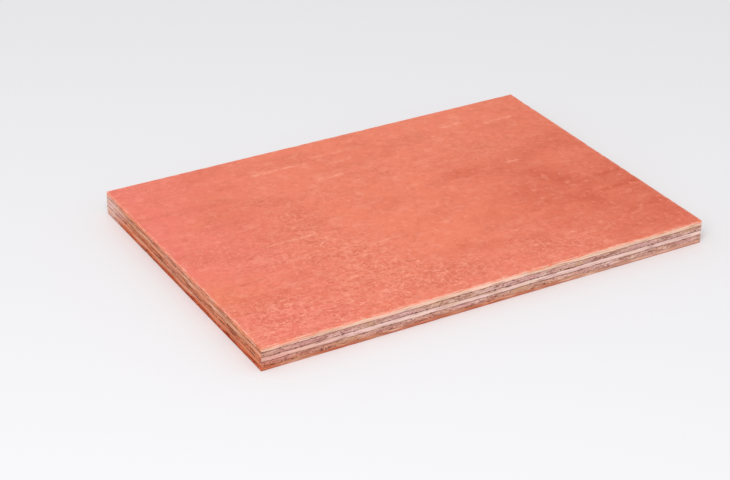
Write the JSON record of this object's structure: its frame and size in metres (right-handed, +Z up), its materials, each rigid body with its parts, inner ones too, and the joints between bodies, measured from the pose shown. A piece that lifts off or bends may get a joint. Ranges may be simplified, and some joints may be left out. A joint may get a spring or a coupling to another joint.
{
  "type": "plywood sheet",
  "caption": "Rectangular sheet of plywood, cross-laminated from peeled veneers, with a red-stained face and square sawn edges; flat panel stock for cladding, crates and shelves.",
  "frame": {"origin": "centre of the underside, on the surface that the sheet lies on", "axes": "+X along the face grain and the long edges, +Y across the grain, +Z up out of the stained face"},
  "size_m": [0.3, 0.21, 0.015],
  "materials": {
    "stained_face_veneer": "red water stain on a sanded veneer, matt",
    "crossband_veneer": "bare, sawn",
    "core_veneer": "bare, sawn",
    "stained_back_veneer": "red water stain on a sanded veneer, matt"
  },
  "bodies": {
    "root": {"back_veneer": "stained_back_veneer", "lower_crossband": "crossband_veneer", "core_veneer": "core_veneer", "upper_crossband": "crossband_veneer", "face_veneer": "stained_face_veneer"}
  },
  "joints": []
}
